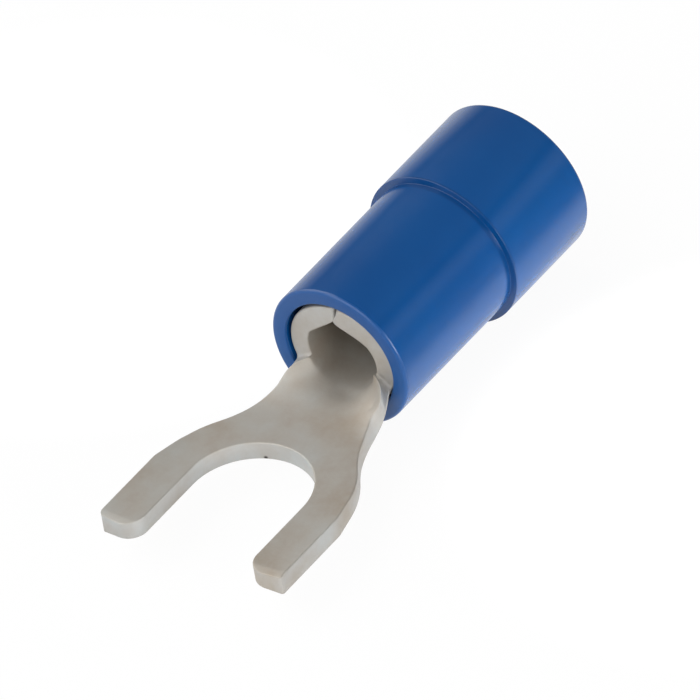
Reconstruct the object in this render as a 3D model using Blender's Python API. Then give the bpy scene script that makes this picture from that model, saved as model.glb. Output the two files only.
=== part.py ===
"""An insulated fork terminal for a 4 mm stud and wire of 1.5 to 2.5 square millimetres.

The contact is one piece of tinned copper sheet: a stamped blank with a fork, a neck and two wings, and
the wings are rolled up until they meet in a butt seam. A stepped sleeve of blue PVC covers its barrel.
Metres, +Z up. X runs along the barrel to the tips of the fork, and the seam is on top.
"""

import math

import bmesh
import bpy

MM = 0.001

# The sheet, and the barrel rolled from it. The barrel's mouth is pressed a little flat
SHEET = 0.68 * MM
BARREL_RADIUS = 1.96 * MM
BARREL_LENGTH = 5.2 * MM
SEAM_GAP = 0.06 * MM
MOUTH_SAG = 0.08 * MM
MOUTH_SPREAD = 0.03 * MM
MOUTH_LEAN = 0.04 * MM
MOUTH_LENGTH = 1.8 * MM
WING_CORNER = 0.16 * MM
DIE_ROLL = 0.07 * MM

# Beside the seam the barrel is flat inside, like a low roof: how far the flats are from the axis, and
# how far from the seam, as angles about the axis, their middles and their ends are
ROOF_HEIGHT = 1.13 * MM
ROOF_TURN = math.radians(37)
ROOF_REACH = math.radians(65)

# Grooves across the inside of the barrel, which grip the strands
GROOVES = 3
FIRST_GROOVE = 2.1 * MM
GROOVE_PITCH = 1.05 * MM
GROOVE_WIDTH = 0.42 * MM
GROOVE_DEPTH = 0.13 * MM

# The tongue, measured from the barrel's mouth
TONGUE_REACH = 8.72 * MM
FORK_WIDTH = 7.09 * MM
NECK_WIDTH = 3.82 * MM
NECK_FILLET = 0.14 * MM
NECK_LENGTH = 0.87 * MM
FLARE_RADIUS = 3.95 * MM
SHOULDER_RADIUS = 3.75 * MM
CHEEK_SLOPE = math.radians(12)
CHEEK_LENGTH = 0.9 * MM
CHEEK_CORNER = 0.8 * MM

# The fold, from the barrel's roundness to the flat tongue. It squeezes the inner face out past the edges
FOLD_LENGTH = 2.98 * MM
FOLD_FADE = 4.7
FOLD_EASE = 1.35
BULGE = 0.1
BULGE_MIDDLE = 0.45 * MM
BULGE_REACH = 0.6 * MM

# The slot for the stud, and the corners of the two tips
SLOT_WIDTH = 4.3 * MM
SLOT_CENTRE = 5.53 * MM
TIP_INNER_CORNER = 0.65 * MM
TIP_OUTER_CORNER = 0.08 * MM

# The sleeve, with a wider rear half for the wire's own insulation
SLEEVE_LENGTH = 9.91 * MM
FRONT_LENGTH = 5.83 * MM
FRONT_RADIUS = 2.58 * MM
FRONT_TAPER = 0.01 * MM
REAR_RADIUS = 2.82 * MM
STEP_ROUND = 0.1 * MM
FACE_ROUND = 0.07 * MM
REAR_ROUND = 0.12 * MM

# Inside the sleeve: a seat for the barrel, a throat behind it and a funnel for the wire
BARREL_CLEARANCE = 0.09 * MM
SEAT_CLEARANCE = 0.1 * MM
MOUTH_RECESS = 0.12 * MM
THROAT_RADIUS = 1.5 * MM
THROAT_LENGTH = 0.35 * MM
FUNNEL_LENGTH = 1.6 * MM
ENTRY_WALL = 0.58 * MM
BORE_CHAMFER = 0.05 * MM

# How finely the round stretches are drawn. The fold's lines lie closer together near the mouth
SLEEVE_FACETS = 72
BARREL_FACETS = 60
ARC_STEP = math.radians(12)
FOLD_LINES = 12
FOLD_CROWDING = 1.3
MOUTH_LINES = 5
DIE_ROLL_STEPS = 2
ROUND_PROFILE = 0.5
SHARP_ANGLE = math.radians(32)
SAME_LINE = 0.001 * MM
SAME_POINT = 0.0001 * MM

TIN = (0.56, 0.53, 0.49)
PVC_BLUE = (0.016, 0.085, 0.30)

MID_RADIUS = BARREL_RADIUS - SHEET / 2
WING = math.pi * MID_RADIUS - SEAM_GAP / 2
SLEEVE_FACE_X = (SLEEVE_LENGTH - TONGUE_REACH + MOUTH_RECESS) / 2
MOUTH_X = SLEEVE_FACE_X - MOUTH_RECESS


def material(name, colour, roughness, metallic):
    """One plain surface, as a Principled material."""
    made = bpy.data.materials.new(name)
    made.use_nodes = True
    shader = made.node_tree.nodes["Principled BSDF"]
    shader.inputs["Base Color"].default_value = (*colour, 1)
    shader.inputs["Roughness"].default_value = roughness
    shader.inputs["Metallic"].default_value = metallic
    return made


def finished(name, bm, surface):
    """Makes the mesh an object at its place, shaded smooth between sharp edges."""
    bmesh.ops.recalc_face_normals(bm, faces=bm.faces)
    mesh = bpy.data.meshes.new(name)
    bm.to_mesh(mesh)
    bm.free()
    mesh.shade_smooth()
    mesh.set_sharp_from_angle(angle=SHARP_ANGLE)
    mesh.materials.append(surface)
    piece = bpy.data.objects.new(name, mesh)
    bpy.context.scene.collection.objects.link(piece)
    return piece


def arc(x, y, radius, start, end):
    """Points of an arc about (x, y), both ends among them. Angles are in degrees."""
    turn = math.radians(end - start)
    steps = max(2, math.ceil(abs(turn) / ARC_STEP))
    angles = [math.radians(start) + turn * i / steps for i in range(steps + 1)]
    return [(x + radius * math.cos(a), y + radius * math.sin(a)) for a in angles]


def flare_angle():
    """The steepest slope of the fork's flank, where its hollow arc meets its round one."""
    rise = (FORK_WIDTH - NECK_WIDTH) / 2 - CHEEK_LENGTH * math.sin(CHEEK_SLOPE)
    level = SHOULDER_RADIUS * math.cos(CHEEK_SLOPE) + FLARE_RADIUS
    return math.acos((level - rise) / (SHOULDER_RADIUS + FLARE_RADIUS))


def flank():
    """Half the outline from the neck to the cheek: a hollow arc, then a round one."""
    steepest = flare_angle()
    hollow_y = NECK_WIDTH / 2 + FLARE_RADIUS
    both = FLARE_RADIUS + SHOULDER_RADIUS
    round_x = NECK_LENGTH + both * math.sin(steepest)
    round_y = hollow_y - both * math.cos(steepest)
    meeting = math.degrees(steepest)
    points = arc(NECK_LENGTH, hollow_y, FLARE_RADIUS, -90, meeting - 90)
    points += arc(round_x, round_y, SHOULDER_RADIUS, meeting + 90, math.degrees(CHEEK_SLOPE) + 90)[1:]
    return points


def cheek_corner():
    """The soft corner where the cheek, which starts at the flank's last point, meets the straight side."""
    start_x, start_y = flank()[-1]
    corner_x = start_x + (FORK_WIDTH / 2 - start_y) / math.tan(CHEEK_SLOPE)
    centre_x = corner_x + CHEEK_CORNER * math.tan(CHEEK_SLOPE / 2)
    centre_y = FORK_WIDTH / 2 - CHEEK_CORNER
    return arc(centre_x, centre_y, CHEEK_CORNER, math.degrees(CHEEK_SLOPE) + 90, 90)


def half_blank():
    """Half the stamped blank, from the middle of its rear edge round to the bottom of the slot."""
    half_slot = SLOT_WIDTH / 2
    wing = arc(-BARREL_LENGTH + WING_CORNER, WING - WING_CORNER, WING_CORNER, 180, 90)
    wing += arc(-WING_CORNER, WING - WING_CORNER, WING_CORNER, 90, 0)
    neck = arc(NECK_FILLET, NECK_WIDTH / 2 + NECK_FILLET, NECK_FILLET, 180, 270)
    tip = arc(TONGUE_REACH - TIP_OUTER_CORNER, FORK_WIDTH / 2 - TIP_OUTER_CORNER, TIP_OUTER_CORNER, 90, 0)
    tip += arc(TONGUE_REACH - TIP_INNER_CORNER, half_slot + TIP_INNER_CORNER, TIP_INNER_CORNER, 0, -90)
    slot = arc(SLOT_CENTRE, 0, half_slot, 90, 180)
    return wing + neck + flank() + cheek_corner() + tip + slot


def eased(share):
    """0 to 1 with level ends."""
    share = min(1.0, max(0.0, share))
    return share * share * (3 - 2 * share)


def curl(x):
    """How much of the barrel's roundness the sheet has: all of it inside the sleeve, none past the fold."""
    along = min(1.0, max(0.0, (x - MOUTH_RECESS) / (FOLD_LENGTH - MOUTH_RECESS)))
    return (1 - along ** FOLD_EASE) ** FOLD_FADE


def rolled(x, across, height):
    """Where a point of the flat blank goes. Height is from the middle of the sheet, up and inwards."""
    squeezed = BULGE * eased(1 - abs(x - BULGE_MIDDLE) / BULGE_REACH)
    across *= 1 + squeezed * max(0.0, height) / (SHEET / 2)
    pressed = eased(1 + x / MOUTH_LENGTH)
    tall = MID_RADIUS - MOUTH_SAG * pressed
    wide = MID_RADIUS + MOUTH_SPREAD * pressed * curl(x)
    bend = curl(x)
    if bend == 0:
        return MOUTH_X + x, across, REAR_RADIUS - tall + height
    turn = across * bend / MID_RADIUS
    y = (wide / bend - height) * math.sin(turn) + MOUTH_LEAN * pressed * math.sin(turn) ** 2
    z = REAR_RADIUS - tall + tall / bend - (tall / bend - height) * math.cos(turn)
    return MOUTH_X + x, y, z


def pressed_height(x, across, height):
    """Flattens the inner face beside the seam to a low roof, and sinks the grooves into it."""
    inner = SHEET / 2
    from_seam = math.pi - abs(across) / MID_RADIUS
    if from_seam < ROOF_REACH:
        inner = MID_RADIUS - ROOF_HEIGHT / math.cos(from_seam - ROOF_TURN)
    if height > 0:
        height *= inner / (SHEET / 2)
    if any(abs(x - middle) < SAME_LINE for middle in groove_places()):
        height = min(height, inner - GROOVE_DEPTH)
    return height


def groove_places():
    """The middle of each groove, back from the mouth."""
    return [-FIRST_GROOVE - GROOVE_PITCH * i for i in range(GROOVES)]


def cut_lines(bm, places, normal, reach):
    """Scores the sheet with straight lines, so that it can bend along them, as far along as reach."""
    for place in places:
        near = [face for face in bm.faces if face.calc_center_bounds().x < reach]
        edges = {edge for face in near for edge in face.edges}
        corners = {corner for face in near for corner in face.verts}
        bmesh.ops.bisect_plane(
            bm,
            geom=[*corners, *edges, *near],
            plane_co=[place * axis for axis in normal],
            plane_no=normal,
            dist=SAME_POINT,
        )


def fork_contact():
    """Stamps the blank, rounds its sheared edges, presses the grooves and rolls up the wings."""
    half = half_blank()
    outline = half + [(x, -y) for x, y in reversed(half[:-1])]
    bm = bmesh.new()
    blank = bm.faces.new([bm.verts.new((x, y, -SHEET / 2)) for x, y in outline])
    raised = bmesh.ops.extrude_face_region(bm, geom=[blank])["geom"]
    top = [item for item in raised if isinstance(item, bmesh.types.BMVert)]
    bmesh.ops.translate(bm, verts=top, vec=(0, 0, SHEET))
    bmesh.ops.recalc_face_normals(bm, faces=bm.faces)
    rims = [edge for edge in bm.edges if abs(edge.verts[0].co.z - edge.verts[1].co.z) < SHEET / 2]
    bmesh.ops.bevel(
        bm, geom=rims, offset=DIE_ROLL, segments=DIE_ROLL_STEPS, profile=ROUND_PROFILE, affect="EDGES"
    )
    groove_edges = [
        middle + side * GROOVE_WIDTH / 2 for middle in groove_places() for side in (-1, 0, 1)
    ]
    mouth_lines = [-MOUTH_LENGTH * i / MOUTH_LINES for i in range(MOUTH_LINES + 1)]
    folded = FOLD_LENGTH - MOUTH_RECESS
    fold_lines = [MOUTH_RECESS + folded * (i / FOLD_LINES) ** FOLD_CROWDING for i in range(FOLD_LINES)]
    cut_lines(bm, [FOLD_LENGTH], (1, 0, 0), TONGUE_REACH)
    cut_lines(bm, groove_edges + mouth_lines + fold_lines, (1, 0, 0), FOLD_LENGTH)
    step = 2 * math.pi * MID_RADIUS / BARREL_FACETS
    lines = [step * (i + 0.5) for i in range(-BARREL_FACETS // 2, BARREL_FACETS // 2)]
    cut_lines(bm, lines, (0, 1, 0), FOLD_LENGTH)
    bmesh.ops.triangulate(bm, faces=bm.faces)
    for corner in bm.verts:
        x, across, height = corner.co
        corner.co = rolled(x, across, pressed_height(x, across, height))
    return finished("fork_contact", bm, material("tinned_copper", TIN, 0.38, 1.0))


def sleeve_section():
    """Half the sleeve's section as (distance behind its front face, radius), once round."""
    seat = BARREL_RADIUS + BARREL_CLEARANCE
    throat = MOUTH_RECESS + BARREL_LENGTH + SEAT_CLEARANCE
    funnel = throat + THROAT_LENGTH
    entry = REAR_RADIUS - ENTRY_WALL
    waist = FRONT_RADIUS + FRONT_TAPER
    outside = arc(FACE_ROUND, FRONT_RADIUS - FACE_ROUND, FACE_ROUND, 180, 90)
    outside += arc(FRONT_LENGTH - STEP_ROUND, waist + STEP_ROUND, STEP_ROUND, -90, -30)
    outside += arc(FRONT_LENGTH + STEP_ROUND, REAR_RADIUS - STEP_ROUND, STEP_ROUND, 150, 90)
    outside += arc(SLEEVE_LENGTH - REAR_ROUND, REAR_RADIUS - REAR_ROUND, REAR_ROUND, 90, 0)
    inside = [
        (SLEEVE_LENGTH, entry + BORE_CHAMFER),
        (SLEEVE_LENGTH - BORE_CHAMFER, entry),
        (funnel + FUNNEL_LENGTH, entry),
        (funnel, THROAT_RADIUS),
        (throat, THROAT_RADIUS),
        (throat, seat),
        (BORE_CHAMFER, seat),
        (0, seat + BORE_CHAMFER),
    ]
    return outside + inside


def insulating_sleeve():
    """Turns the sleeve's section about the barrel's axis."""
    bm = bmesh.new()
    section = sleeve_section()
    ring = [bm.verts.new((SLEEVE_FACE_X - back, 0, REAR_RADIUS - radius)) for back, radius in section]
    edges = [bm.edges.new((ring[i - 1], ring[i])) for i in range(len(ring))]
    bmesh.ops.spin(
        bm,
        geom=ring + edges,
        cent=(0, 0, REAR_RADIUS),
        axis=(1, 0, 0),
        angle=2 * math.pi,
        steps=SLEEVE_FACETS,
        use_merge=True,
    )
    bmesh.ops.remove_doubles(bm, verts=bm.verts, dist=SAME_POINT)
    return finished("insulating_sleeve", bm, material("blue_pvc", PVC_BLUE, 0.32, 0.0))


for old in list(bpy.data.objects):
    bpy.data.objects.remove(old)
fork_contact()
insulating_sleeve()
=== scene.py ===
"""The looks of an insulated fork terminal, a blue sleeve on a tinned copper contact. Metres, +Z up."""

import math

import bpy
from mathutils import Matrix, Vector


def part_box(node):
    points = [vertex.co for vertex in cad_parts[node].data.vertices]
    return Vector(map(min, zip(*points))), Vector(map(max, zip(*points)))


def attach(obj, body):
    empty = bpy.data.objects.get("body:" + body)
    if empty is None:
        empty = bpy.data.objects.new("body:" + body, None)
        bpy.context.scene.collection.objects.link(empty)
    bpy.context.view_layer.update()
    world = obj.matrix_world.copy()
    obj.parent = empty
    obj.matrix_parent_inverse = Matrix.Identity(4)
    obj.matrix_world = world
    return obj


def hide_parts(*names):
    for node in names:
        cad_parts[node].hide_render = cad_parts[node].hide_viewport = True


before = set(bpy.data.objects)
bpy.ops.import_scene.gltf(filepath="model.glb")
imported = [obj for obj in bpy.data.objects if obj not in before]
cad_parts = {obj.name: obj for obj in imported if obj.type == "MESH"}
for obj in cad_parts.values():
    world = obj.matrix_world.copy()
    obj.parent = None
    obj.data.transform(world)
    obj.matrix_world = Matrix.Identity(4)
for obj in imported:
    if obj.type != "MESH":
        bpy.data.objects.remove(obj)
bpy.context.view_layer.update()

# Insulating sleeve
# One piece of soft PVC, moulded and dyed blue right through. Its narrow front half grips the barrel, and
# the wider rear half takes the wire's own insulation. Its rims came round out of the mould.
MM = 0.001
SLEEVE_SIDES = 192
FRONT_LENGTH = 5.83 * MM
FRONT_RADIUS = 2.58 * MM
FRONT_TAPER = 0.01 * MM
STEP_ROUND = 0.02 * MM
FACE_ROUND = 0.12 * MM
REAR_ROUND = 0.12 * MM
BORE_ROUND = 0.05 * MM
SEAT_RADIUS = 2.05 * MM
SEAT_DEPTH = 5.42 * MM
THROAT_RADIUS = 1.5 * MM
THROAT_LENGTH = 0.35 * MM
FUNNEL_LENGTH = 1.6 * MM
ENTRY_WALL = 0.58 * MM
FACE_DULL_FROM = 0.14 * MM
FACE_DULL_TO = 0.04 * MM
# These place a band of painted shade at the step.
STEP_SHADE_MIDDLE = 0.06 * MM
STEP_SHADE_CORE = 0.07 * MM
STEP_SHADE_REACH = 0.18 * MM
SAME_PLACE = 0.001 * MM
SLEEVE_SMOOTH = math.radians(35)

sleeve_low, sleeve_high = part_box("insulating_sleeve")
front_x, rear_x = sleeve_high.x, sleeve_low.x
axis_z = (sleeve_low.z + sleeve_high.z) / 2
rear_radius = sleeve_high.z - axis_z
entry_radius = rear_radius - ENTRY_WALL
step_x = front_x - FRONT_LENGTH
seat_x = front_x - SEAT_DEPTH
throat_x = seat_x - THROAT_LENGTH
funnel_x = throat_x - FUNNEL_LENGTH


def begin_edit():
    """Opens the new piece for editing, with its place already in its mesh."""
    bpy.ops.object.transform_apply()
    bpy.ops.object.mode_set(mode="EDIT")


def pick_edges(wanted):
    """Selects the edges of the piece being edited whose two ends are both as wanted."""
    bpy.ops.mesh.select_mode(type="EDGE")
    bpy.ops.mesh.select_all(action="DESELECT")
    bpy.ops.object.mode_set(mode="OBJECT")
    mesh = bpy.context.object.data
    for edge in mesh.edges:
        edge.select = all(wanted(mesh.vertices[end].co) for end in edge.vertices)
    bpy.ops.object.mode_set(mode="EDIT")


def off_axis(point):
    """A point's distance from the barrel's axis."""
    return math.hypot(point.y, point.z - axis_z)


def on_ring(x, radius):
    """A test for the points of one ring about the axis."""
    return lambda point: abs(point.x - x) < SAME_PLACE and abs(off_axis(point) - radius) < SAME_PLACE


def draw_wall(rings):
    """Draws a tube's wall on from the ring that is selected, through each (x, radius) in turn."""
    for (x, radius), (next_x, next_radius) in zip(rings, rings[1:]):
        bpy.ops.mesh.extrude_region_move(TRANSFORM_OT_translate={"value": (next_x - x, 0, 0)})
        growth = next_radius / radius
        bpy.ops.transform.resize(value=(1, growth, growth), center_override=(next_x, 0, axis_z))


def round_ring(x, radius, offset, segments):
    """Rounds the edge that runs round one ring."""
    pick_edges(on_ring(x, radius))
    bpy.ops.mesh.bevel(offset=offset, segments=segments, profile=0.5, clamp_overlap=False)


bpy.ops.object.select_all(action="DESELECT")
bpy.ops.mesh.primitive_circle_add(
    vertices=SLEEVE_SIDES, radius=SEAT_RADIUS, location=(front_x, 0, axis_z), rotation=(0, math.pi / 2, 0)
)
sleeve = bpy.context.object
sleeve.name = sleeve.data.name = "sleeve_moulding"
begin_edit()
waist = FRONT_RADIUS + FRONT_TAPER
draw_wall([
    (front_x, SEAT_RADIUS),
    (front_x, FRONT_RADIUS),
    (step_x, waist),
    (step_x, rear_radius),
    (rear_x, rear_radius),
    (rear_x, entry_radius),
    (funnel_x, entry_radius),
    (throat_x, THROAT_RADIUS),
    (seat_x, THROAT_RADIUS),
    (seat_x, SEAT_RADIUS),
])
front_rim, seat_corner = on_ring(front_x, SEAT_RADIUS), on_ring(seat_x, SEAT_RADIUS)
pick_edges(lambda point: front_rim(point) or seat_corner(point))
bpy.ops.mesh.bridge_edge_loops()
bpy.ops.mesh.select_all(action="SELECT")
bpy.ops.mesh.normals_make_consistent(inside=False)
round_ring(front_x, FRONT_RADIUS, FACE_ROUND, 8)
round_ring(front_x, SEAT_RADIUS, BORE_ROUND, 3)
round_ring(step_x, waist, STEP_ROUND, 6)
round_ring(step_x, rear_radius, STEP_ROUND, 6)
round_ring(rear_x, rear_radius, REAR_ROUND, 6)
round_ring(rear_x, entry_radius, BORE_ROUND, 3)
bpy.ops.object.mode_set(mode="OBJECT")
bpy.ops.object.shade_smooth_by_angle(angle=SLEEVE_SMOOTH)

pvc = bpy.data.materials.new("blue_pvc")
pvc.use_nodes = True
nodes, links = pvc.node_tree.nodes, pvc.node_tree.links
shader = nodes["Principled BSDF"]
place = nodes.new("ShaderNodeTexCoord")
clouds = nodes.new("ShaderNodeTexNoise")
clouds.inputs["Scale"].default_value = 260
clouds.inputs["Detail"].default_value = 3
dye = nodes.new("ShaderNodeValToRGB")
dye.color_ramp.elements[0].position = 0.3
dye.color_ramp.elements[0].color = (0.0005, 0.059, 0.225, 1)
dye.color_ramp.elements[1].position = 0.72
dye.color_ramp.elements[1].color = (0.0015, 0.069, 0.248, 1)
skin = nodes.new("ShaderNodeTexNoise")
skin.inputs["Scale"].default_value = 1500
skin.inputs["Detail"].default_value = 4
gloss = nodes.new("ShaderNodeMapRange")
gloss.inputs["To Min"].default_value = 0.18
gloss.inputs["To Max"].default_value = 0.27
along = nodes.new("ShaderNodeSeparateXYZ")
end_face = nodes.new("ShaderNodeMapRange")
end_face.inputs["From Min"].default_value = front_x - FACE_DULL_FROM
end_face.inputs["From Max"].default_value = front_x - FACE_DULL_TO
end_face.inputs["To Max"].default_value = 0.12
# Painted shade: the dye is darkened in a soft band at the step, standing in for the shade in the step's
# corner.
from_step = nodes.new("ShaderNodeMath")
from_step.operation = "SUBTRACT"
from_step.inputs[1].default_value = step_x + STEP_SHADE_MIDDLE
how_far = nodes.new("ShaderNodeMath")
how_far.operation = "ABSOLUTE"
painted_step_shade = nodes.new("ShaderNodeMapRange")
painted_step_shade.interpolation_type = "SMOOTHSTEP"
painted_step_shade.inputs["From Min"].default_value = STEP_SHADE_CORE
painted_step_shade.inputs["From Max"].default_value = STEP_SHADE_REACH
painted_step_shade.inputs["To Min"].default_value = 1
painted_step_shade.inputs["To Max"].default_value = 0
dye_with_painted_shade = nodes.new("ShaderNodeMixRGB")
dye_with_painted_shade.blend_type = "MULTIPLY"
dye_with_painted_shade.inputs["Color2"].default_value = (0.72, 0.74, 0.76, 1)
rougher = nodes.new("ShaderNodeMath")
rougher.operation = "ADD"
ripple = nodes.new("ShaderNodeBump")
ripple.inputs["Strength"].default_value = 0.2
ripple.inputs["Distance"].default_value = 0.01 * MM
links.new(place.outputs["Object"], clouds.inputs["Vector"])
links.new(place.outputs["Object"], skin.inputs["Vector"])
links.new(clouds.outputs["Fac"], dye.inputs["Fac"])
links.new(skin.outputs["Fac"], gloss.inputs["Value"])
links.new(skin.outputs["Fac"], ripple.inputs["Height"])
links.new(dye.outputs["Color"], dye_with_painted_shade.inputs["Color1"])
links.new(painted_step_shade.outputs["Result"], dye_with_painted_shade.inputs["Fac"])
links.new(dye_with_painted_shade.outputs["Color"], shader.inputs["Base Color"])
links.new(place.outputs["Object"], along.inputs["Vector"])
links.new(along.outputs["X"], end_face.inputs["Value"])
links.new(along.outputs["X"], from_step.inputs[0])
links.new(from_step.outputs["Value"], how_far.inputs[0])
links.new(how_far.outputs["Value"], painted_step_shade.inputs["Value"])
links.new(gloss.outputs["Result"], rougher.inputs[0])
links.new(end_face.outputs["Result"], rougher.inputs[1])
links.new(rougher.outputs["Value"], shader.inputs["Roughness"])
links.new(ripple.outputs["Normal"], shader.inputs["Normal"])
shader.inputs["IOR"].default_value = 1.53
sleeve.data.materials.append(pvc)
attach(sleeve, "root")
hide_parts("insulating_sleeve")

# Fork contact
# One strip of copper, blanked to a fork, a neck and two wings, scored across with grip grooves and rolled
# up until the wings meet in a butt seam. It was tinned after that, so even the sheared edges are grey.
SHEET = 0.68 * MM
BARREL_RADIUS = 1.96 * MM
BARREL_LENGTH = 5.2 * MM
SEAM_GAP = 0.06 * MM
SEAM_MEETING = 0.3 * MM
SEAM_CLOSING = 0.45
MOUTH_RECESS = 0.12 * MM
MOUTH_SAG = 0.08 * MM
MOUTH_SPREAD = 0.03 * MM
MOUTH_LEAN = 0.04 * MM
MOUTH_LENGTH = 1.8 * MM
WING_CORNER = 0.16 * MM
ROOF_HEIGHT = 1.17 * MM
ROOF_TURN = math.radians(42)
ROOF_REACH = math.radians(65.9)
INNER_ROLL = 0.045 * MM
OUTER_ROLL = 0.07 * MM
HOLDING_LOOP = 0.02 * MM
GROOVES = 3
FIRST_GROOVE = 2.1 * MM
GROOVE_PITCH = 1.05 * MM
GROOVE_WIDTH = 0.42 * MM
GROOVE_DEPTH = 0.13 * MM
FORK_WIDTH = 7.09 * MM
NECK_WIDTH = 3.82 * MM
NECK_FILLET = 0.14 * MM
NECK_LENGTH = 0.87 * MM
FLARE_RADIUS = 3.95 * MM
SHOULDER_RADIUS = 3.75 * MM
CHEEK_SLOPE = math.radians(12)
CHEEK_LENGTH = 0.9 * MM
CHEEK_CORNER = 0.8 * MM
DIE_MARK_FADE = 1.6
DIE_MARKS = (
    (0.46, 1.84, 0.26, 0.2, 0.08),
    (0.84, 1.6, 0.13, 0.17, -0.05),
    (0.05, 1.3, 0.22, 0.5, -0.03),
    (0.4, 0.3, 0.3, 0.5, -0.025),
)
FOLD_LENGTH = 2.98 * MM
FOLD_FADE = 4.7
FOLD_EASE = 1.35
LEFT_BULGE = 0.1
RIGHT_BULGE = 0.36
BULGE_MIDDLE = 0.5 * MM
BULGE_REACH = 0.8 * MM
SLOT_WIDTH = 4.3 * MM
SLOT_CENTRE = 5.53 * MM
TIP_INNER_CORNER = 0.65 * MM
TIP_OUTER_CORNER = 0.1 * MM
TIP_FALL = 0.03 * MM
TIP_FALL_LENGTH = 0.32 * MM
WORN_CORNER = 0.3 * MM
TIP_LINES = 7
SPECK_PLACE = (4.06 * MM, -0.76 * MM, 1.02 * MM)
SPECK_CORE = 0.03 * MM
SPECK_EDGE = 0.09 * MM
EDGE_SEGMENTS = 4
LEVEL = 0.999
UNROLLED = 1e-6
CONTACT_SMOOTH = math.radians(40)
ARC_STEP = math.radians(4)
BARREL_LINES = 160
FOLD_LINES = 26
FOLD_CROWDING = 1.3
MOUTH_LINES = 9

contact_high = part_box("fork_contact")[1]
mouth_x = front_x - MOUTH_RECESS
reach = contact_high.x - mouth_x
mid_radius = BARREL_RADIUS - SHEET / 2
wing = math.pi * mid_radius - SEAM_GAP / 2
half_slot = SLOT_WIDTH / 2
half_fork = FORK_WIDTH / 2
pen = Vector((-BARREL_LENGTH, 0))


def line_to(x, y):
    """Draws the outline straight on."""
    global pen
    bpy.ops.mesh.extrude_region_move(TRANSFORM_OT_translate={"value": (x - pen.x, y - pen.y, 0)})
    pen = Vector((x, y))


def arc_about(x, y, turn):
    """Draws the outline on round a centre, by an angle that is above 0 where it turns left."""
    global pen
    steps = max(3, math.ceil(abs(turn) / ARC_STEP))
    bpy.ops.mesh.spin(steps=steps, angle=-turn, center=(x, y, 0), axis=(0, 0, 1))
    pen = Vector((x, y)) + Matrix.Rotation(turn, 2) @ (pen - Vector((x, y)))


bpy.ops.object.select_all(action="DESELECT")
bpy.ops.mesh.primitive_plane_add(size=SHEET, location=(pen.x, pen.y, 0))
contact = bpy.context.object
contact.name = contact.data.name = "rolled_fork"
begin_edit()
bpy.ops.mesh.select_mode(type="VERT")
bpy.ops.mesh.merge(type="CENTER")
quarter = math.pi / 2
line_to(-BARREL_LENGTH, wing - WING_CORNER)
arc_about(-BARREL_LENGTH + WING_CORNER, wing - WING_CORNER, -quarter)
line_to(-WING_CORNER, wing)
arc_about(-WING_CORNER, wing - WING_CORNER, -quarter)
line_to(0, NECK_WIDTH / 2 + NECK_FILLET)
arc_about(NECK_FILLET, NECK_WIDTH / 2 + NECK_FILLET, quarter)
line_to(NECK_LENGTH, NECK_WIDTH / 2)
both = FLARE_RADIUS + SHOULDER_RADIUS
rise = half_fork - NECK_WIDTH / 2 - CHEEK_LENGTH * math.sin(CHEEK_SLOPE)
flare = math.acos((SHOULDER_RADIUS * math.cos(CHEEK_SLOPE) + FLARE_RADIUS - rise) / both)
hollow_y = NECK_WIDTH / 2 + FLARE_RADIUS
arc_about(NECK_LENGTH, hollow_y, flare)
arc_about(NECK_LENGTH + both * math.sin(flare), hollow_y - both * math.cos(flare), CHEEK_SLOPE - flare)
cheek_x = pen.x + (half_fork - pen.y) / math.tan(CHEEK_SLOPE) + CHEEK_CORNER * math.tan(CHEEK_SLOPE / 2)
line_to(
    cheek_x - CHEEK_CORNER * math.sin(CHEEK_SLOPE),
    half_fork - CHEEK_CORNER + CHEEK_CORNER * math.cos(CHEEK_SLOPE),
)
arc_about(cheek_x, half_fork - CHEEK_CORNER, -CHEEK_SLOPE)
line_to(reach - TIP_OUTER_CORNER, half_fork)
arc_about(reach - TIP_OUTER_CORNER, half_fork - TIP_OUTER_CORNER, -quarter)
line_to(reach, half_slot + TIP_INNER_CORNER)
arc_about(reach - TIP_INNER_CORNER, half_slot + TIP_INNER_CORNER, -quarter)
line_to(SLOT_CENTRE, half_slot)
arc_about(SLOT_CENTRE, 0, quarter)
bpy.ops.object.mode_set(mode="OBJECT")
other_half = contact.modifiers.new("other_half", "MIRROR")
other_half.use_axis = (False, True, False)
other_half.merge_threshold = SAME_PLACE
bpy.ops.object.modifier_apply(modifier=other_half.name)

bpy.ops.object.mode_set(mode="EDIT")
bpy.ops.mesh.select_all(action="SELECT")
bpy.ops.mesh.remove_doubles(threshold=SAME_PLACE)
bpy.ops.mesh.edge_face_add()
bpy.ops.transform.translate(value=(0, 0, -SHEET / 2))
bpy.ops.mesh.extrude_region_move(TRANSFORM_OT_translate={"value": (0, 0, SHEET)})
bpy.ops.mesh.select_all(action="SELECT")
bpy.ops.mesh.normals_make_consistent(inside=False)
for side, roll in ((-1, OUTER_ROLL), (1, INNER_ROLL)):
    pick_edges(lambda point: abs(point.z - side * SHEET / 2) < SAME_PLACE)
    bpy.ops.mesh.bevel(offset=roll, segments=EDGE_SEGMENTS, profile=0.5, clamp_overlap=False)
for side in (-1, 1):
    bpy.ops.mesh.select_mode(type="FACE")
    bpy.ops.mesh.select_all(action="DESELECT")
    bpy.ops.object.mode_set(mode="OBJECT")
    for face in contact.data.polygons:
        face.select = face.normal.z * side > LEVEL
    bpy.ops.object.mode_set(mode="EDIT")
    bpy.ops.mesh.inset(thickness=HOLDING_LOOP, depth=0)
bpy.ops.object.mode_set(mode="OBJECT")


def score(places, normal, before):
    """Cuts lines straight through the strip behind a place along it, for it to bend and sink along."""
    for spot in places:
        for face in contact.data.polygons:
            face.select = min(contact.data.vertices[i].co.x for i in face.vertices) < before
        bpy.ops.object.mode_set(mode="EDIT")
        bpy.ops.mesh.select_mode(type="FACE")
        at = [spot * share for share in normal]
        bpy.ops.mesh.bisect(plane_co=at, plane_no=normal, threshold=SAME_PLACE / 10)
        bpy.ops.object.mode_set(mode="OBJECT")


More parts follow.
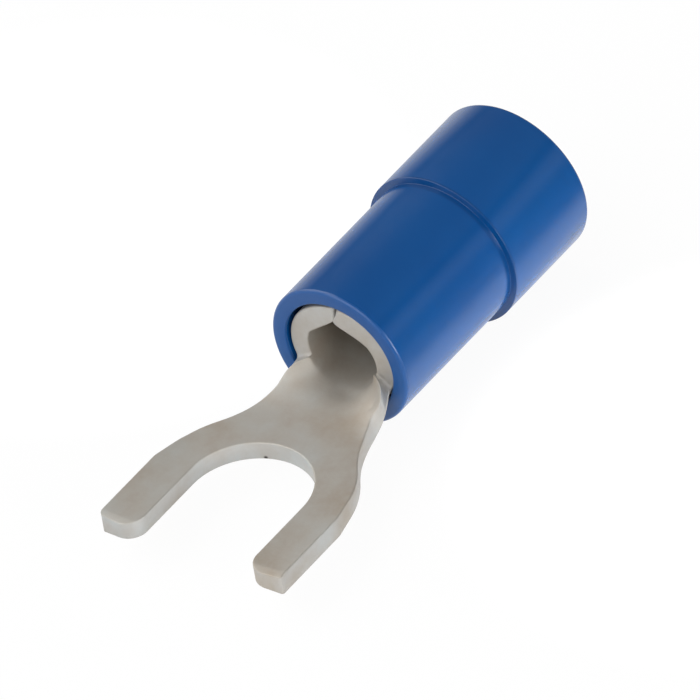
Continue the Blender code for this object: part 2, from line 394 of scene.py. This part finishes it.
groove_middles = [-FIRST_GROOVE - GROOVE_PITCH * i for i in range(GROOVES)]
groove_lines = [
    middle + GROOVE_WIDTH * share for middle in groove_middles for share in (-0.5, -0.25, 0, 0.25, 0.5)
]
mouth_lines = [-MOUTH_LENGTH * i / MOUTH_LINES for i in range(MOUTH_LINES + 1)]
folded = FOLD_LENGTH - MOUTH_RECESS
fold_lines = [MOUTH_RECESS + folded * (i / FOLD_LINES) ** FOLD_CROWDING for i in range(FOLD_LINES)]
pitch = 2 * math.pi * mid_radius / BARREL_LINES
tip_lines = [reach - TIP_FALL_LENGTH * i / TIP_LINES for i in range(1, TIP_LINES + 1)]
score([FOLD_LENGTH] + tip_lines, (1, 0, 0), reach)
score(groove_lines + mouth_lines + fold_lines, (1, 0, 0), FOLD_LENGTH)
score([pitch * (i + 0.5) for i in range(-BARREL_LINES // 2, BARREL_LINES // 2)], (0, 1, 0), FOLD_LENGTH)


def eased(share):
    """0 to 1 with level ends."""
    share = min(1.0, max(0.0, share))
    return share * share * (3 - 2 * share)


def sunk(x, across, height):
    """Flattens the inner face beside the seam to a low roof, and sinks the grooves into it."""
    inner = SHEET / 2
    from_seam = math.pi - abs(across) / mid_radius
    if from_seam < ROOF_REACH:
        inner = mid_radius - ROOF_HEIGHT / math.cos(from_seam - ROOF_TURN)
    if height > 0:
        height *= inner / (SHEET / 2)
    for middle in groove_middles:
        from_middle = abs(x - middle) / (GROOVE_WIDTH / 2)
        if from_middle < 1:
            height = min(height, inner - GROOVE_DEPTH * (1 - eased(from_middle)))
    if height > 0:
        for mark_x, mark_y, half_length, half_width, rise in DIE_MARKS:
            off = math.hypot((x / MM - mark_x) / half_length, (across / MM - mark_y) / half_width)
            height += rise * MM * (1 - eased(off / DIE_MARK_FADE)) * height / (SHEET / 2)
        from_tip = (reach - x) / TIP_FALL_LENGTH
        height -= TIP_FALL * eased(1 - from_tip) * height / (SHEET / 2)
    return height


def rolled(x, across, height):
    """Where a point of the flat strip goes. Height is from the middle of the sheet, up and inwards."""
    along = min(1.0, max(0.0, (x - MOUTH_RECESS) / folded))
    bend = (1 - along ** FOLD_EASE) ** FOLD_FADE
    bulge = RIGHT_BULGE if across > 0 else LEFT_BULGE
    squeezed = bulge * eased(1 - abs(x - BULGE_MIDDLE) / BULGE_REACH)
    across *= 1 + squeezed * max(0.0, height) / (SHEET / 2)
    to_seam = eased(1 - (wing - abs(across)) / SEAM_MEETING)
    across += math.copysign(SEAM_GAP * SEAM_CLOSING * to_seam * eased(height / (SHEET / 2)), across)
    pressed = eased(1 + x / MOUTH_LENGTH)
    tall = mid_radius - MOUTH_SAG * pressed
    wide = mid_radius + MOUTH_SPREAD * pressed * bend
    if bend < UNROLLED:
        return mouth_x + x, across, rear_radius - tall + height
    turn = across * bend / mid_radius
    y = (wide / bend - height) * math.sin(turn) + MOUTH_LEAN * pressed * math.sin(turn) ** 2
    z = rear_radius - tall + tall / bend - (tall / bend - height) * math.cos(turn)
    return mouth_x + x, y, z


cut_by_die = contact.data.attributes.new("cut_by_die", "FLOAT", "FACE")
for face, cut in zip(contact.data.polygons, cut_by_die.data):
    cut.value = 1 - abs(face.normal.z)
for corner in contact.data.vertices:
    x, across, height = corner.co
    from_end, from_edge = WORN_CORNER - (reach - x), WORN_CORNER - (half_fork + across)
    if min(from_end, from_edge) > 0 and math.hypot(from_end, from_edge) > WORN_CORNER:
        kept = WORN_CORNER / math.hypot(from_end, from_edge)
        x, across = reach - WORN_CORNER + from_end * kept, WORN_CORNER - half_fork - from_edge * kept
    corner.co = rolled(x, across, sunk(x, across, height))
bpy.ops.object.shade_smooth_by_angle(angle=CONTACT_SMOOTH)

tin = bpy.data.materials.new("tinned_copper")
tin.use_nodes = True
nodes, links = tin.node_tree.nodes, tin.node_tree.links
shader = nodes["Principled BSDF"]
place = nodes.new("ShaderNodeTexCoord")
stains = nodes.new("ShaderNodeTexNoise")
stains.inputs["Scale"].default_value = 520
stains.inputs["Detail"].default_value = 5
stains.inputs["Roughness"].default_value = 0.6
tone = nodes.new("ShaderNodeValToRGB")
tone.color_ramp.elements[0].position = 0.3
tone.color_ramp.elements[0].color = (0.388, 0.338, 0.278, 1)
tone.color_ramp.elements[1].position = 0.7
tone.color_ramp.elements[1].color = (0.462, 0.458, 0.428, 1)
tone.color_ramp.elements.new(0.5).color = (0.435, 0.404, 0.36, 1)
from_speck = nodes.new("ShaderNodeVectorMath")
from_speck.operation = "DISTANCE"
from_speck.inputs[1].default_value = SPECK_PLACE
speck = nodes.new("ShaderNodeMapRange")
speck.inputs["From Min"].default_value = SPECK_CORE
speck.inputs["From Max"].default_value = SPECK_EDGE
speck.inputs["To Min"].default_value = 1
speck.inputs["To Max"].default_value = 0
specked = nodes.new("ShaderNodeMixRGB")
specked.inputs["Color2"].default_value = (0.06, 0.055, 0.05, 1)
cut = nodes.new("ShaderNodeAttribute")
cut.attribute_name = "cut_by_die"
cut_tone = nodes.new("ShaderNodeMixRGB")
cut_tone.blend_type = "MULTIPLY"
cut_tone.inputs["Color2"].default_value = (1.13, 1.18, 1.25, 1)
grain = nodes.new("ShaderNodeTexNoise")
grain.inputs["Scale"].default_value = 9000
grain.inputs["Detail"].default_value = 3
dullness = nodes.new("ShaderNodeMapRange")
dullness.inputs["To Min"].default_value = 0.55
dullness.inputs["To Max"].default_value = 0.68
pits = nodes.new("ShaderNodeBump")
pits.inputs["Strength"].default_value = 0.3
pits.inputs["Distance"].default_value = 0.01 * MM
links.new(place.outputs["Object"], stains.inputs["Vector"])
links.new(place.outputs["Object"], grain.inputs["Vector"])
links.new(stains.outputs["Fac"], tone.inputs["Fac"])
links.new(grain.outputs["Fac"], dullness.inputs["Value"])
links.new(grain.outputs["Fac"], pits.inputs["Height"])
links.new(tone.outputs["Color"], cut_tone.inputs["Color1"])
links.new(cut.outputs["Fac"], cut_tone.inputs["Fac"])
links.new(place.outputs["Object"], from_speck.inputs[0])
links.new(from_speck.outputs["Value"], speck.inputs["Value"])
links.new(speck.outputs["Result"], specked.inputs["Fac"])
links.new(cut_tone.outputs["Color"], specked.inputs["Color1"])
links.new(specked.outputs["Color"], shader.inputs["Base Color"])
links.new(dullness.outputs["Result"], shader.inputs["Roughness"])
links.new(pits.outputs["Normal"], shader.inputs["Normal"])
shader.inputs["Metallic"].default_value = 0.6
contact.data.materials.append(tin)
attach(contact, "root")
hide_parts("fork_contact")

# Table
# A wide sheet of white card under the part. It keeps the part's shadow, and to the camera it is white. In
# reflections it glows with painted light, brightest close to the part's right side, and dark beyond that.
TABLE_SIDES = 96
TABLE_RADIUS = 3
RAMP_REACH = 15 * MM
bpy.ops.object.select_all(action="DESELECT")
bpy.ops.mesh.primitive_circle_add(
    vertices=TABLE_SIDES, radius=TABLE_RADIUS, fill_type="NGON", location=(0, 0, 0)
)
table = bpy.context.object
table.name = table.data.name = "white_table"
card = bpy.data.materials.new("white_card")
card.use_nodes = True
nodes, links = card.node_tree.nodes, card.node_tree.links
nodes.remove(nodes["Principled BSDF"])
matt = nodes.new("ShaderNodeBsdfDiffuse")
matt.inputs["Color"].default_value = (0.95, 0.95, 0.95, 1)
white = nodes.new("ShaderNodeEmission")
white.inputs["Color"].default_value = (1, 1, 1, 1)
ray = nodes.new("ShaderNodeLightPath")
seen = nodes.new("ShaderNodeMath")
seen.operation = "MAXIMUM"
seen_through = nodes.new("ShaderNodeMath")
seen_through.operation = "MAXIMUM"
share = nodes.new("ShaderNodeMath")
share.operation = "MULTIPLY"
share.inputs[1].default_value = 0.95
blend = nodes.new("ShaderNodeMixShader")
spot = nodes.new("ShaderNodeTexCoord")
apart = nodes.new("ShaderNodeSeparateXYZ")
beside = nodes.new("ShaderNodeMapRange")
beside.inputs["From Min"].default_value = -RAMP_REACH
beside.inputs["From Max"].default_value = RAMP_REACH
# Painted light: in reflections the card glows by this ramp across Y, not by any lamp.
painted_glow = nodes.new("ShaderNodeValToRGB")
painted_glow.color_ramp.elements[0].position = 0.25
painted_glow.color_ramp.elements[0].color = (0.81, 0.81, 0.81, 1)
painted_glow.color_ramp.elements[1].position = 0.9
painted_glow.color_ramp.elements[1].color = (0.1, 0.1, 0.1, 1)
for at, tone_there in ((0.4, 0.6), (0.47, 0.8), (0.52, 1), (0.68, 1), (0.79, 0.14)):
    painted_glow.color_ramp.elements.new(at).color = (tone_there, tone_there, tone_there, 1)
glow_strength = nodes.new("ShaderNodeMath")
glow_strength.operation = "MAXIMUM"
links.new(spot.outputs["Object"], apart.inputs["Vector"])
links.new(apart.outputs["Y"], beside.inputs["Value"])
links.new(beside.outputs["Result"], painted_glow.inputs["Fac"])
links.new(painted_glow.outputs["Color"], glow_strength.inputs[0])
links.new(ray.outputs["Is Camera Ray"], glow_strength.inputs[1])
links.new(glow_strength.outputs["Value"], white.inputs["Strength"])
links.new(ray.outputs["Is Camera Ray"], seen.inputs[0])
links.new(ray.outputs["Is Glossy Ray"], seen.inputs[1])
links.new(seen.outputs[0], seen_through.inputs[0])
links.new(ray.outputs["Is Transmission Ray"], seen_through.inputs[1])
links.new(seen_through.outputs[0], share.inputs[0])
links.new(share.outputs[0], blend.inputs["Fac"])
links.new(matt.outputs["BSDF"], blend.inputs[1])
links.new(white.outputs["Emission"], blend.inputs[2])
links.new(blend.outputs["Shader"], nodes["Material Output"].inputs["Surface"])
table.data.materials.append(card)

# Studio
# The walls and the ceiling are grey, and white to the camera. Three wide lamps hang round the part, and two
# narrow ones light the card on both sides of it.
LAMP_SIZE = 0.5
LAMP_DISTANCE = 0.5
SIDE_LAMP_SIZE = 0.3
BEAM_WIDTH = math.radians(4.4)
BEAM_BLEND = 0.3
BEAM_SOURCE = 0.001
BEAM_START = (-0.004, 0.1, 0.25)
BEAM_LANDING = 0.0135
world = bpy.data.worlds.new("studio")
bpy.context.scene.world = world
world.use_nodes = True
nodes, links = world.node_tree.nodes, world.node_tree.links
backdrop = nodes["Background"]
backdrop.inputs["Strength"].default_value = 1
way = nodes.new("ShaderNodeTexCoord")
slope = nodes.new("ShaderNodeVectorMath")
slope.operation = "DOT_PRODUCT"
slope.inputs[1].default_value = (0, -0.18, 1)
heights = nodes.new("ShaderNodeValToRGB")
bands = heights.color_ramp
bands.elements[0].position = 0.0
bands.elements[0].color = (0.13, 0.13, 0.13, 1)
bands.elements[1].position = 0.8
bands.elements[1].color = (0.21, 0.21, 0.21, 1)
for height, tone_there in ((0.15, 0.51), (0.3, 0.45), (0.42, 0.02), (0.55, 0.25)):
    bands.elements.new(height).color = (tone_there, tone_there, tone_there, 1)
ray = nodes.new("ShaderNodeLightPath")
plain = nodes.new("ShaderNodeMixRGB")
plain.inputs["Color2"].default_value = (1, 1, 1, 1)
links.new(way.outputs["Generated"], slope.inputs[0])
links.new(slope.outputs["Value"], heights.inputs["Fac"])
links.new(heights.outputs["Color"], plain.inputs["Color1"])
links.new(ray.outputs["Is Camera Ray"], plain.inputs["Fac"])
links.new(plain.outputs["Color"], backdrop.inputs["Color"])


def hang_lamp(name, azimuth, elevation, distance, size, watts):
    """Hangs a square lamp that faces the part."""
    turn, lift = math.radians(azimuth), math.radians(elevation)
    away = Vector((math.cos(lift) * math.cos(turn), math.cos(lift) * math.sin(turn), math.sin(lift)))
    lamp = bpy.data.lights.new(name, "AREA")
    lamp.size = size
    lamp.energy = watts
    hung = bpy.data.objects.new(name, lamp)
    bpy.context.scene.collection.objects.link(hung)
    hung.location = Vector((0, 0, axis_z)) + away * distance
    hung.rotation_euler = away.to_track_quat("Z", "Y").to_euler()


hang_lamp("high_lamp", -85, 42, LAMP_DISTANCE, LAMP_SIZE, 1.7)
hang_lamp("side_lamp", 80, 5, LAMP_DISTANCE, SIDE_LAMP_SIZE, 2.2)
hang_lamp("front_lamp", -5, 36, LAMP_DISTANCE, LAMP_SIZE, 1.85)
for name, side, watts in (("right_table_lamp", 1, 6.8), ("left_table_lamp", -1, 5.4)):
    spot_lamp = bpy.data.lights.new(name, "SPOT")
    spot_lamp.energy = watts
    spot_lamp.spot_size = BEAM_WIDTH
    spot_lamp.spot_blend = BEAM_BLEND
    spot_lamp.shadow_soft_size = BEAM_SOURCE
    above_table = bpy.data.objects.new(name, spot_lamp)
    bpy.context.scene.collection.objects.link(above_table)
    above_table.location = (BEAM_START[0], side * BEAM_START[1], BEAM_START[2])
    beam = Vector((0, side * (BEAM_START[1] - BEAM_LANDING), BEAM_START[2]))
    above_table.rotation_euler = beam.to_track_quat("Z", "Y").to_euler()

# Camera
# A long lens from a little above, turned so that the part lies across the picture.
AIM_AZIMUTH = math.radians(41.237)
AIM_ELEVATION = math.radians(39.1)
ROLL = math.radians(-10.121)
DISTANCE = 600 * MM
SENSOR = 36
PICTURE = 700
PIXELS_PER_MM = 31.744
SLEEVE_FACE_PIXEL = (338.91, 357.61)
back = Vector((
    math.cos(AIM_ELEVATION) * math.cos(AIM_AZIMUTH),
    math.cos(AIM_ELEVATION) * math.sin(AIM_AZIMUTH),
    math.sin(AIM_ELEVATION),
))
turned = back.to_track_quat("Z", "Y").to_matrix() @ Matrix.Rotation(ROLL, 3, "Z")
right, up = turned.col[0], turned.col[1]
face_middle = Vector((front_x, 0, axis_z))
eye = face_middle + back * DISTANCE
aim = face_middle
aim += right * (PICTURE / 2 - SLEEVE_FACE_PIXEL[0]) / PIXELS_PER_MM * MM
aim += up * (SLEEVE_FACE_PIXEL[1] - PICTURE / 2) / PIXELS_PER_MM * MM
sight = (eye - aim).normalized()
side_way = up.cross(sight).normalized()
lens = bpy.data.cameras.new("camera")
lens.sensor_width = SENSOR
lens.lens = PIXELS_PER_MM * (DISTANCE / MM) / PICTURE * SENSOR
lens.clip_start = 10 * MM
lens.clip_end = 10
camera = bpy.data.objects.new("camera", lens)
bpy.context.scene.collection.objects.link(camera)
camera.matrix_world = Matrix.Translation(eye) @ Matrix((
    side_way, sight.cross(side_way), sight
)).transposed().to_4x4()
bpy.context.scene.camera = camera
bpy.context.scene.view_settings.view_transform = "Standard"
